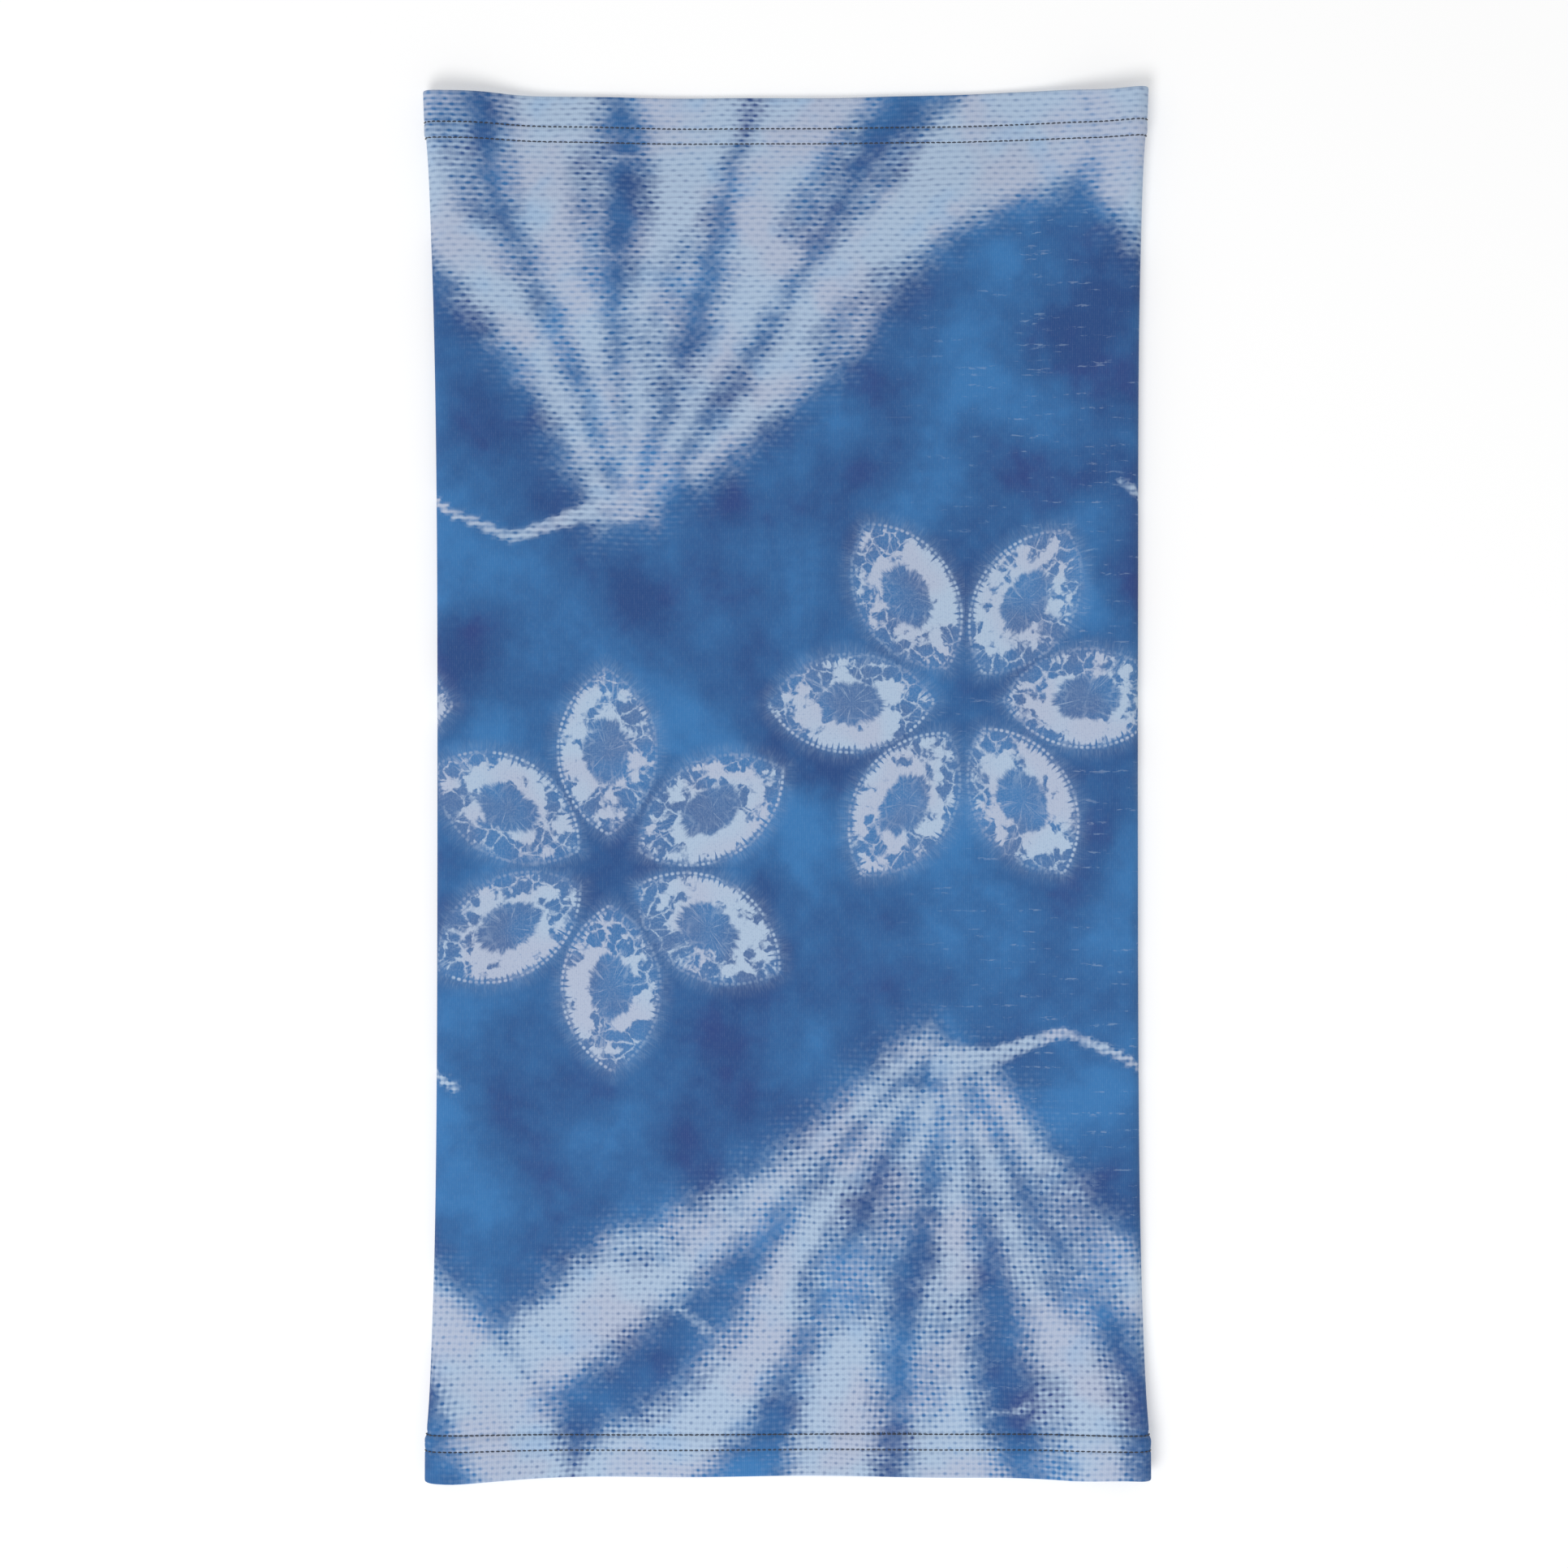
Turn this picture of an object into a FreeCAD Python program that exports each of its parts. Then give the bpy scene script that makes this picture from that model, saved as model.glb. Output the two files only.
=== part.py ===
"""Neck gaiter lying flat: one knit panel sewn into a tube, and the sewing threads that hold it.

X runs across the tube, Y along it and Z up. The back layer lies on Z = 0 and the front faces +Z.
The origin is under the middle of the gaiter.
"""
import FreeCAD, Part
import math
import os
import Sketcher
from FreeCAD import Placement, Rotation, Vector

DOCUMENT_NAME = "neck_gaiter"
PARTS_FOLDER = "parts"

# alias, value in mm, what it is
DRIVING_SIZES = [
    ("waist_width", 250.0, "flat width of the tube half way along"),
    ("hip_width", 251.2, "flat width at hip_station"),
    ("flare_width", 252.8, "flat width at flare_station"),
    ("shoulder_width", 255.6, "flat width where the body meets a hem"),
    ("hem_width", 256.8, "flat width of a hem at its raw edge"),
    ("mouth_width", 258.6, "flat width of a hem at its folded edge"),
    ("hip_station", 140.0, "distance from the middle, along the tube"),
    ("flare_station", 192.0, "distance from the middle, along the tube"),
    ("corner_length", 498.0, "length from corner to corner"),
    ("edge_dip", 3.4, "how far the middle of a folded edge is drawn in from its corners"),
    ("hem_depth", 19.5, "turned-in depth of a hem, from its corners"),
    ("loft", 10.0, "height of the relaxed tube, back to front"),
    ("cloth", 0.8, "thickness of one layer of the knit"),
    ("pressed", 0.1, "how much the back layer is pressed flat by its own weight"),
    ("edge_row", 12.0, "hem stitch row nearer the folded edge, from the corners"),
    ("inner_row", 17.8, "hem stitch row nearer the raw edge, from the corners"),
    ("thread", 0.3, "thickness of a thread pressed into the knit"),
    ("thread_width", 0.5, "width of a thread pressed into the knit"),
    ("thread_sink", 0.15, "depth of a thread below the outside of the knit"),
    ("groove_play", 0.05, "clear space around a thread in its groove"),
    ("allowance", 6.0, "width of the overlocked seam allowance"),
    ("allowance_height", 1.4, "height of the two pressed layers of the allowance"),
    ("seam_needle_in", 0.6, "first seam needle row, from the seam line"),
    ("seam_needle_out", 2.6, "second seam needle row, from the seam line"),
]

OVERSHOOT = 5.0          # how far a cut runs past the cloth at an end
GROOVE_OVERSHOOT = 1.0   # how far a groove's sketch stands outside the cloth
REST_MARGIN = 20.0       # how far the cut that flattens the back runs past each edge
LEAST_VOLUME = 1e-6      # a cut that takes off less than this has missed
SHEET = "sizes"

doc = FreeCAD.newDocument(DOCUMENT_NAME)


def make_sheet():
    """The spreadsheet that drives every size below."""
    sheet = doc.addObject("Spreadsheet::Sheet", SHEET)
    for row, (alias, value, note) in enumerate(DRIVING_SIZES, start=1):
        sheet.set(f"A{row}", alias)
        sheet.set(f"B{row}", str(value))
        sheet.set(f"C{row}", note)
        sheet.setAlias(f"B{row}", alias)
    doc.recompute()


def cell(alias):
    """How an expression names a cell."""
    return f"{SHEET}.{alias}"


def origin_plane(body, role):
    """One of the body's own origin planes."""
    for feature in body.Origin.OriginFeatures:
        if feature.Role == role:
            return feature
    raise ValueError(role)


def new_body(label):
    """A body whose label names its file."""
    body = doc.addObject("PartDesign::Body", label)
    body.Label = label
    body.Placement = Placement(Vector(0, 0, 0), Rotation())
    return body


def new_sketch(body, name, role, offset_expression):
    """A sketch on one of the body's origin planes, moved along the plane's normal."""
    sketch = body.newObject("Sketcher::SketchObject", name)
    sketch.AttachmentSupport = [(origin_plane(body, role), "")]
    sketch.MapMode = "FlatFace"
    sketch.setExpression("AttachmentOffset.Base.z", offset_expression)
    return sketch


def bind(sketch, constraint, name, expression):
    """Adds a named constraint and binds it to the sheet."""
    index = sketch.addConstraint(constraint)
    sketch.renameConstraint(index, name)
    sketch.setExpression(f"Constraints.{name}", expression)


def add_slot(sketch, tag, width, inset, outset=0.0):
    """A closed slot: the flattened tube's outline at one width, moved in by inset.

    The slot's two round ends are the tube's side folds. It reaches below Z = 0 by the pressed depth.
    """
    first = sketch.GeometryCount
    guess_half = 120.0
    guess_rise = 5.0
    guess_radius = 4.0
    right, left, base, roof = first, first + 1, first + 2, first + 3
    quarter = math.pi / 2
    up = Vector(0, 0, 1)
    right_circle = Part.Circle(Vector(guess_half, guess_rise, 0), up, guess_radius)
    left_circle = Part.Circle(Vector(-guess_half, guess_rise, 0), up, guess_radius)
    low = guess_rise - guess_radius
    high = guess_rise + guess_radius
    sketch.addGeometry(Part.ArcOfCircle(right_circle, -quarter, quarter), False)
    sketch.addGeometry(Part.ArcOfCircle(left_circle, quarter, 3 * quarter), False)
    sketch.addGeometry(Part.LineSegment(Vector(-guess_half, low, 0), Vector(guess_half, low, 0)), False)
    sketch.addGeometry(Part.LineSegment(Vector(guess_half, high, 0), Vector(-guess_half, high, 0)), False)
    start, end, centre = 1, 2, 3
    sketch.addConstraint(Sketcher.Constraint("Tangent", base, end, right, start))
    sketch.addConstraint(Sketcher.Constraint("Tangent", right, end, roof, start))
    sketch.addConstraint(Sketcher.Constraint("Tangent", roof, end, left, start))
    sketch.addConstraint(Sketcher.Constraint("Tangent", left, end, base, start))
    sketch.addConstraint(Sketcher.Constraint("Horizontal", right, centre, left, centre))
    sketch.addConstraint(Sketcher.Constraint("Equal", right, left))
    half_straight = f"({width} - {cell('loft')}) / 2"
    rise = f"{cell('loft')} / 2 - {cell('pressed')}"
    radius = f"{cell('loft')} / 2 - ({inset}) + {outset}"
    to_right = Sketcher.Constraint("DistanceX", -1, 1, right, centre, guess_half)
    to_left = Sketcher.Constraint("DistanceX", left, centre, -1, 1, guess_half)
    bind(sketch, to_right, f"{tag}_right", half_straight)
    bind(sketch, to_left, f"{tag}_left", half_straight)
    bind(sketch, Sketcher.Constraint("DistanceY", -1, 1, right, centre, guess_rise), f"{tag}_rise", rise)
    bind(sketch, Sketcher.Constraint("Radius", right, guess_radius), f"{tag}_radius", radius)


def slot_section(body, name, station, width, inset):
    """A slot outline across the tube at a station along Y."""
    sketch = new_sketch(body, name, "XZ_Plane", f"-({station})")
    add_slot(sketch, "slot", width, inset)
    return sketch


def loft(body, kind, name, sections):
    """A smooth additive or subtractive loft through the sections."""
    feature = body.newObject(kind, name)
    feature.Profile = sections[0]
    feature.Sections = sections[1:]
    feature.Ruled = False
    feature.Closed = False
    for section in sections:
        section.Visibility = False
    doc.recompute()


def body_stations():
    """Stations and widths of the tube between its two hems, bottom to top."""
    seat = f"{cell('corner_length')} / 2 - {cell('hem_depth')}"
    half = [
        (seat, cell("shoulder_width")),
        (cell("flare_station"), cell("flare_width")),
        (cell("hip_station"), cell("hip_width")),
    ]
    below = [(f"-({station})", width) for station, width in half]
    above = [(station, width) for station, width in reversed(half)]
    return below + [("0", cell("waist_width"))] + above


def hem_stations(side, past=0.0):
    """Stations and widths of one hem, raw edge to folded edge. side is 1 at the top, -1 below."""
    seat = f"{side} * ({cell('corner_length')} / 2 - {cell('hem_depth')})"
    mouth = f"{side} * ({cell('corner_length')} / 2 + {past})"
    return [(seat, cell("hem_width")), (mouth, cell("mouth_width"))]


def tube_sections(body, tag, stations, inset):
    """One slot section for each station."""
    sections = []
    for number, (station, width) in enumerate(stations):
        sections.append(slot_section(body, f"{tag}_{number}", station, width, inset))
    return sections


def row_width(distance):
    """Hem width at a distance from the corners, on the straight line from mouth to raw edge."""
    drop = f"({cell('mouth_width')} - {cell('hem_width')}) * {distance} / {cell('hem_depth')}"
    return f"({cell('mouth_width')} - {drop})"


def must_have_cut(body, before, what):
    """Stops if a cut removed nothing, as one that points the wrong way does."""
    if not body.Shape.Volume < before - LEAST_VOLUME:
        raise RuntimeError(f"{what} removed nothing")


def cut_both_ways(body, name, sketch, length=""):
    """A pocket to both sides of its sketch: through everything, or as long as the expression says."""
    before = body.Shape.Volume
    pocket = body.newObject("PartDesign::Pocket", f"{name}_cut")
    pocket.Profile = sketch
    pocket.Midplane = True
    through_all, by_length = 1, 0
    pocket.Type = by_length if length else through_all
    if length:
        pocket.setExpression("Length", length)
    doc.recompute()
    must_have_cut(body, before, name)


def pad_both_ways(body, name, sketch, length):
    """A pad to both sides of its sketch, as long as the expression says."""
    pad = body.newObject("PartDesign::Pad", f"{name}_pad")
    pad.Profile = sketch
    pad.Midplane = True
    pad.setExpression("Length", length)
    doc.recompute()


def add_rectangle(sketch, left, low, right, high):
    """A level rectangle, guessed at these places: sides 0 below, 1 right, 2 above and 3 left."""
    corners = [(left, low), (right, low), (right, high), (left, high)]
    for number, here in enumerate(corners):
        there = corners[(number + 1) % len(corners)]
        sketch.addGeometry(Part.LineSegment(Vector(*here, 0), Vector(*there, 0)), False)
    start, end = 1, 2
    for number, kind in enumerate(["Horizontal", "Vertical", "Horizontal", "Vertical"]):
        following = (number + 1) % len(corners)
        sketch.addConstraint(Sketcher.Constraint("Coincident", number, end, following, start))
        sketch.addConstraint(Sketcher.Constraint(kind, number))


def draw_in_edge(panel, side, name):
    """Trims one folded edge to a shallow arc, so that its corners stand out."""
    sketch = new_sketch(panel, name, "XY_Plane", "0")
    half_guess = 130.0
    edge_guess = side * 249.0
    dip_guess = side * 245.0
    beyond_guess = side * 254.0
    radius_guess = 2500.0
    left_end = Vector(-half_guess, edge_guess, 0)
    right_end = Vector(half_guess, edge_guess, 0)
    sketch.addGeometry(Part.Arc(left_end, Vector(0, dip_guess, 0), right_end), False)
    far_line = [(half_guess, beyond_guess), (-half_guess, beyond_guess)]
    corners = [(half_guess, edge_guess)] + far_line + [(-half_guess, edge_guess)]
    for here, there in zip(corners, corners[1:]):
        sketch.addGeometry(Part.LineSegment(Vector(*here, 0), Vector(*there, 0)), False)
    start, end = 1, 2
    # a sketch keeps its arcs anticlockwise, so this one starts at the left above and at the right below
    arc_right, arc_left = (end, start) if side > 0 else (start, end)
    sketch.addConstraint(Sketcher.Constraint("Coincident", 0, arc_right, 1, start))
    sketch.addConstraint(Sketcher.Constraint("Coincident", 1, end, 2, start))
    sketch.addConstraint(Sketcher.Constraint("Coincident", 2, end, 3, start))
    sketch.addConstraint(Sketcher.Constraint("Coincident", 3, end, 0, arc_left))
    sketch.addConstraint(Sketcher.Constraint("Vertical", 1))
    sketch.addConstraint(Sketcher.Constraint("Horizontal", 2))
    sketch.addConstraint(Sketcher.Constraint("Vertical", 3))
    sketch.addConstraint(Sketcher.Constraint("Symmetric", 0, start, 0, end, -2))
    half = f"{cell('mouth_width')} / 2"
    edge = f"{cell('corner_length')} / 2"
    # radius of an arc with this half chord and sagitta
    radius = f"({half} * {half} + {cell('edge_dip')} * {cell('edge_dip')}) / (2 * {cell('edge_dip')})"
    bind(sketch, Sketcher.Constraint("DistanceX", -1, 1, 0, arc_right, half_guess), "half_chord", half)
    reach = ("DistanceY", -1, 1, 0, arc_right, abs(edge_guess))
    height = ("DistanceY", -1, 1, 1, end, abs(beyond_guess))
    if side < 0:
        reach = ("DistanceY", 0, arc_right, -1, 1, abs(edge_guess))
        height = ("DistanceY", 1, end, -1, 1, abs(beyond_guess))
    bind(sketch, Sketcher.Constraint(*reach), "corner_reach", edge)
    bind(sketch, Sketcher.Constraint(*height), "beyond", f"{edge} + {OVERSHOOT}")
    bind(sketch, Sketcher.Constraint("Radius", 0, radius_guess), "dip_radius", radius)
    cut_both_ways(panel, name, sketch)


def cut_row_groove(panel, side, row, name):
    """A groove round the outside of a hem, where a needle thread lies pressed into the knit."""
    centre = f"{side} * ({cell('corner_length')} / 2 - {cell(row)})"
    half_groove = f"({cell('thread_width')} / 2 + {cell('groove_play')})"
    sketch = new_sketch(panel, name, "XZ_Plane", f"-({centre})")
    depth = f"{cell('thread_sink')} + {cell('thread')} + {cell('groove_play')}"
    add_slot(sketch, "inside", row_width(cell(row)), depth)
    add_slot(sketch, "outside", row_width(cell(row)), "0", outset=GROOVE_OVERSHOOT)
    cut_both_ways(panel, name, sketch, f"2 * {half_groove}")


def add_bar(body, name, low_x, high_x, low_z, high_z, half_length):
    """A straight bar along Y: a rectangle on the XZ plane, padded both ways. Ends are expressions."""
    sketch = new_sketch(body, name, "XZ_Plane", "0")
    left_guess, low_guess, right_guess, high_guess = 1.0, 1.0, 3.0, 2.0
    add_rectangle(sketch, left_guess, low_guess, right_guess, high_guess)
    start, end = 1, 2
    bind(sketch, Sketcher.Constraint("DistanceX", -1, 1, 0, start, left_guess), "low_x", low_x)
    bind(sketch, Sketcher.Constraint("DistanceX", -1, 1, 1, end, right_guess), "high_x", high_x)
    bind(sketch, Sketcher.Constraint("DistanceY", -1, 1, 0, start, low_guess), "low_z", low_z)
    bind(sketch, Sketcher.Constraint("DistanceY", -1, 1, 1, end, high_guess), "high_z", high_z)
    pad_both_ways(body, name, sketch, f"2 * ({half_length})")


def inner_floor():
    """Height of the inside of the back layer."""
    return f"{cell('cloth')} - {cell('pressed')}"


def allowance_top():
    """Height of the top of the seam allowance."""
    return f"{inner_floor()} + {cell('allowance_height')}"


def half_body():
    """Half the length of the tube between its hems."""
    return f"{cell('corner_length')} / 2 - {cell('hem_depth')}"


def press_back_flat(panel):
    """Takes off what reaches below Z = 0, which leaves a plane for the gaiter to rest on."""
    sketch = new_sketch(panel, "rest_plane", "XY_Plane", "0")
    half_x_guess = 150.0
    half_y_guess = 300.0
    add_rectangle(sketch, -half_x_guess, -half_y_guess, half_x_guess, half_y_guess)
    start, end = 1, 2
    sketch.addConstraint(Sketcher.Constraint("Symmetric", 0, start, 1, end, -1, 1))
    span_x = f"{cell('mouth_width')} + 2 * {REST_MARGIN}"
    span_y = f"{cell('corner_length')} + 2 * {REST_MARGIN}"
    bind(sketch, Sketcher.Constraint("DistanceX", 0, start, 0, end, 2 * half_x_guess), "span_x", span_x)
    bind(sketch, Sketcher.Constraint("DistanceY", 1, start, 1, end, 2 * half_y_guess), "span_y", span_y)
    before = panel.Shape.Volume
    pocket = panel.newObject("PartDesign::Pocket", "rest_plane_cut")
    pocket.Profile = sketch
    pocket.Length = OVERSHOOT
    doc.recompute()
    must_have_cut(panel, before, "rest_plane")


def make_knit_panel():
    """The one piece of cloth: tube wall, both turned-in hems and the seam allowance inside the back."""
    panel = new_body("knit_panel")
    wall = tube_sections(panel, "wall_outline", body_stations(), "0")
    loft(panel, "PartDesign::AdditiveLoft", "wall", wall)
    for side, place in ((1, "top"), (-1, "bottom")):
        outline = tube_sections(panel, f"{place}_hem_outline", hem_stations(side), "0")
        loft(panel, "PartDesign::AdditiveLoft", f"{place}_hem", outline)
    before = panel.Shape.Volume
    hollow = tube_sections(panel, "hollow_outline", body_stations(), cell("cloth"))
    loft(panel, "PartDesign::SubtractiveLoft", "hollow", hollow)
    must_have_cut(panel, before, "hollow")
    for side, place in ((1, "top"), (-1, "bottom")):
        before = panel.Shape.Volume
        stations = hem_stations(side, OVERSHOOT)
        outline = tube_sections(panel, f"{place}_mouth_outline", stations, f"2 * {cell('cloth')}")
        loft(panel, "PartDesign::SubtractiveLoft", f"{place}_mouth", outline)
        must_have_cut(panel, before, f"{place}_mouth")
    add_bar(panel, "seam_allowance", "0", cell("allowance"), inner_floor(), allowance_top(), half_body())
    for side, place in ((1, "top"), (-1, "bottom")):
        draw_in_edge(panel, side, f"{place}_edge")
        for row in ("edge_row", "inner_row"):
            cut_row_groove(panel, side, row, f"{place}_{row}_groove")
    press_back_flat(panel)
    return panel


def make_needle_thread(label, side, row):
    """A needle thread: one loop round the hem, flush with the outside of the knit."""
    body = new_body(label)
    centre = f"{side} * ({cell('corner_length')} / 2 - {cell(row)})"
    sketch = new_sketch(body, f"{label}_ring", "XZ_Plane", f"-({centre})")
    add_slot(sketch, "inside", row_width(cell(row)), f"{cell('thread_sink')} + {cell('thread')}")
    add_slot(sketch, "outside", row_width(cell(row)), cell("thread_sink"))
    pad_both_ways(body, label, sketch, cell("thread_width"))
    return body


def make_looper_thread(label, side):
    """A looper thread: it zigzags between the two rows on the inside, held here as a thin band."""
    body = new_body(label)
    middle = f"({cell('edge_row')} + {cell('inner_row')}) / 2"
    centre = f"{side} * ({cell('corner_length')} / 2 - {middle})"
    sketch = new_sketch(body, f"{label}_ring", "XZ_Plane", f"-({centre})")
    face = f"2 * {cell('cloth')}"
    add_slot(sketch, "inside", cell("hem_width"), f"{face} + {cell('thread')}")
    add_slot(sketch, "outside", cell("hem_width"), face)
    pad_both_ways(body, label, sketch, f"{cell('inner_row')} - {cell('edge_row')} + {cell('thread_width')}")
    return body


def make_seam_threads():
    """The four threads of the overlocked seam, on the allowance inside the back layer."""
    bodies = []
    roof = allowance_top()
    above = f"{roof} + {cell('thread')}"
    rows = {"seam_needle_thread_1": "seam_needle_in", "seam_needle_thread_2": "seam_needle_out"}
    for label, row in rows.items():
        body = new_body(label)
        far = f"{cell(row)} + {cell('thread_width')}"
        add_bar(body, f"{label}_bar", cell(row), far, roof, above, half_body())
        bodies.append(body)
    upper = new_body("seam_upper_looper_thread")
    near = f"{cell('seam_needle_out')} + {cell('thread_width')} + {cell('groove_play')}"
    add_bar(upper, "seam_upper_looper_bar", near, cell("allowance"), roof, above, half_body())
    lower = new_body("seam_lower_looper_thread")
    far = f"{cell('allowance')} + {cell('thread')}"
    add_bar(lower, "seam_lower_looper_bar", cell("allowance"), far, inner_floor(), roof, half_body())
    return bodies + [upper, lower]


def check_objects():
    """Stops if any object failed to recompute."""
    for thing in doc.Objects:
        if {"Invalid", "Error"} & set(thing.State):
            raise RuntimeError(f"{thing.Label}: {thing.State}")


def write_parts(bodies):
    """Writes each sub-part's solid to its own STEP file."""
    os.makedirs(PARTS_FOLDER, exist_ok=True)
    for body in bodies:
        shape = body.Shape
        if shape.isNull() or not shape.isValid():
            raise RuntimeError(f"{body.Label} has no valid shape")
        shape.exportStep(f"{PARTS_FOLDER}/{body.Label}.step")


make_sheet()
parts = [make_knit_panel()]
for side, place in ((1, "top"), (-1, "bottom")):
    parts.append(make_needle_thread(f"{place}_hem_needle_thread_1", side, "edge_row"))
    parts.append(make_needle_thread(f"{place}_hem_needle_thread_2", side, "inner_row"))
    parts.append(make_looper_thread(f"{place}_hem_looper_thread", side))
parts.extend(make_seam_threads())
doc.recompute()
check_objects()
write_parts(parts)
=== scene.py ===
"""Neck gaiter lying flat on a pale floor: printed knit, hems, stitches and the seam inside the back.

Lengths in the cloth code are millimetres. A point of the cloth is named by its place on the panel:
across (X, 0 at the middle of the front, positive to the right, about 255 at the seam behind) and
edge (distance in from a mouth's folded edge). Blender gets metres.
"""
import math
import bpy
import numpy as np
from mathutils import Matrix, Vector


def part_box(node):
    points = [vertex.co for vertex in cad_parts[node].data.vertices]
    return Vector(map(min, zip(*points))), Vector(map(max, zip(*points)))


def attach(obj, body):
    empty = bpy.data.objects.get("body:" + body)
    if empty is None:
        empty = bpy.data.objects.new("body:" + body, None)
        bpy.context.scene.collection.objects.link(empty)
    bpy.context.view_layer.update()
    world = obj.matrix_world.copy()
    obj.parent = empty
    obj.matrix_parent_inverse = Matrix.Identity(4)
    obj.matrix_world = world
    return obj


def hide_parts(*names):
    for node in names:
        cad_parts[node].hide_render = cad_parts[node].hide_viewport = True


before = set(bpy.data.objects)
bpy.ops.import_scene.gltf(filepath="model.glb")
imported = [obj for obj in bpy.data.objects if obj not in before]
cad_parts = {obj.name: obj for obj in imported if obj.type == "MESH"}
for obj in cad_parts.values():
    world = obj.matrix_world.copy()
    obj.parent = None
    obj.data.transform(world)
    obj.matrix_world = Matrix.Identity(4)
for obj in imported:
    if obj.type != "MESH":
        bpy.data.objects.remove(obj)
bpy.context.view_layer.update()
MM = 0.001

# ---------------------------------------------------------------- sizes from the frame, in mm
panel_high = np.array(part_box("knit_panel")[1]) / MM
CORNER = panel_high[1]                      # half the length, corner to middle
MOUTH_HALF = panel_high[0]                  # half the width at a mouth


def row_edge(node):
    """How far a hem thread's middle lies from the corners."""
    low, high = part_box(node)
    return CORNER - abs(low[1] + high[1]) / 2 / MM


EDGE_ROW = row_edge("top_hem_needle_thread_1")
INNER_ROW = row_edge("top_hem_needle_thread_2")
SEAM_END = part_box("seam_needle_thread_1")[1][1] / MM
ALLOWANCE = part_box("seam_upper_looper_thread")[1][0] / MM

# ---------------------------------------------------------------- the relaxed shape
TOP = 1
BOTTOM = -1
CLOTH = 0.8                                 # thickness of one layer
TURN_GAP = 0.1                              # air between a hem's two layers
THREAD_PROUD = 0.15                         # the threads behind hold the cloth off the floor
WAIST_HALF = 125.0
SHOULDER_HALF = {TOP: 128.7, BOTTOM: 129.2}  # half width where the body meets a hem
HEM_HALF = {TOP: 128.75, BOTTOM: 129.25}    # half width of a hem at its inner stitch row
EDGE_BOW = {TOP: 3.5, BOTTOM: 1.8}          # how far the middle of a folded edge is drawn in
RAW_EDGE = 19.0                             # reach of a hem's turned-in layer
FLARE_REACH = 48.0                          # how far from a hem the flare dies away
HEM_START = CORNER - INNER_ROW              # the hems lie beyond this Y, top and bottom
NOMINAL_RADIUS = 4.0                        # side fold, for measuring the panel
HEM_OPENING = 0.6                           # how much wider the side folds are in the hems
FRONT_HEIGHT = 4.3                          # the front's printed face over the back's, far from a fold
HEM_LOWER = 1.6                             # how much lower the front lies in the hems. Four layers
                                            # need 3.4, so front and back overlap inside the hems
SINK_REACH = 24.0                           # distance from a side fold in which the front sinks
CORNER_LIFT = 2.2                           # rise of the hems' corners
SEAM_VALLEY = 0.55                          # depth of the seam line outside
SKEW = 0.7                                  # how far the top end is pulled to the left
ROW_BITE = 0.34                             # how deep the row nearer the edge pulls the cloth in
ROW_BITE_WIDTH = 0.6
INNER_BITE = {TOP: 0.34, BOTTOM: 0.60}      # the same for the row nearer the body
INNER_BITE_WIDTH = {TOP: 0.6, BOTTOM: 1.1}
HEM_STEP = 0.45                             # drop from the doubled hem to the single body
ROPING = 0.10                               # height of the slanting ripples between the rows
ROPING_PITCH = 3.1
FLAT_HALF = WAIST_HALF - NOMINAL_RADIUS
FOLD_LENGTH = math.pi * NOMINAL_RADIUS
SEAM_AT = 2 * FLAT_HALF + FOLD_LENGTH       # across, at the seam


def smooth(low, high, value):
    """0 below low, 1 above high, and a smooth rise between."""
    t = np.clip((value - low) / (high - low), 0, 1)
    return t * t * (3 - 2 * t)


def half_width(y):
    """Half the flat width: waist, flare towards a hem, a small step where the hem's second layer starts."""
    past_step = np.abs(y) - HEM_START
    shoulder = np.where(y > 0, SHOULDER_HALF[TOP], SHOULDER_HALF[BOTTOM])
    body = WAIST_HALF + (shoulder - WAIST_HALF) * np.exp(-np.maximum(-past_step, 0) / FLARE_REACH)
    step_width = np.where(y > 0, HEM_HALF[TOP], HEM_HALF[BOTTOM])
    hem = step_width + (MOUTH_HALF - step_width) * np.clip(past_step / INNER_ROW, 0, 1.1)
    return body + (hem - body) * smooth(-0.9, 0.7, past_step)


def fold_radius(y):
    """Radius of the side folds: the hems hold the tube a little more open."""
    return NOMINAL_RADIUS + HEM_OPENING * smooth(170, 236, np.abs(y))


def edge_dip(side, across):
    """How far the folded edge is drawn in from the corners, at a place across the front or the back.

    q runs from -1 at the left side fold to 1 at the right one.
    """
    u = np.abs(across)
    x = np.sign(across) * np.where(u < SEAM_AT / 2, u, SEAM_AT - u)
    q = np.clip(x / MOUTH_HALF, -1, 1)
    if side == TOP:
        left = 1.95 * smooth(-0.35, -1.0, q) - 1.0 * np.exp(-((q + 0.82) / 0.10) ** 2)
        right = 0.8 * np.exp(-((q - 0.86) / 0.08) ** 2) - 0.5 * np.exp(-((q - 0.58) / 0.12) ** 2)
        return EDGE_BOW[side] * (1 - q * q) * (1 - 0.25 * q) + left + right + 0.15 * np.sin(x / 9.0)
    corners = 0.9 * smooth(-0.88, -0.99, q) + 1.8 * smooth(0.74, 0.93, q)
    return EDGE_BOW[side] * (1 - q * q) * (1 - 0.1 * q) + corners + 0.22 * np.sin(x / 13.0 + 1.0)


def along(side, edge, across):
    """Y of a point that lies edge in from the folded edge of the mouth on that side.

    The dip of the edge dies away into the body, quickly at the bottom.
    """
    spread = np.exp(-edge / 35.0) if side == TOP else np.exp(-(edge / 9.0) ** 2)
    return side * (CORNER - edge - edge_dip(side, across) * spread)


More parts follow.
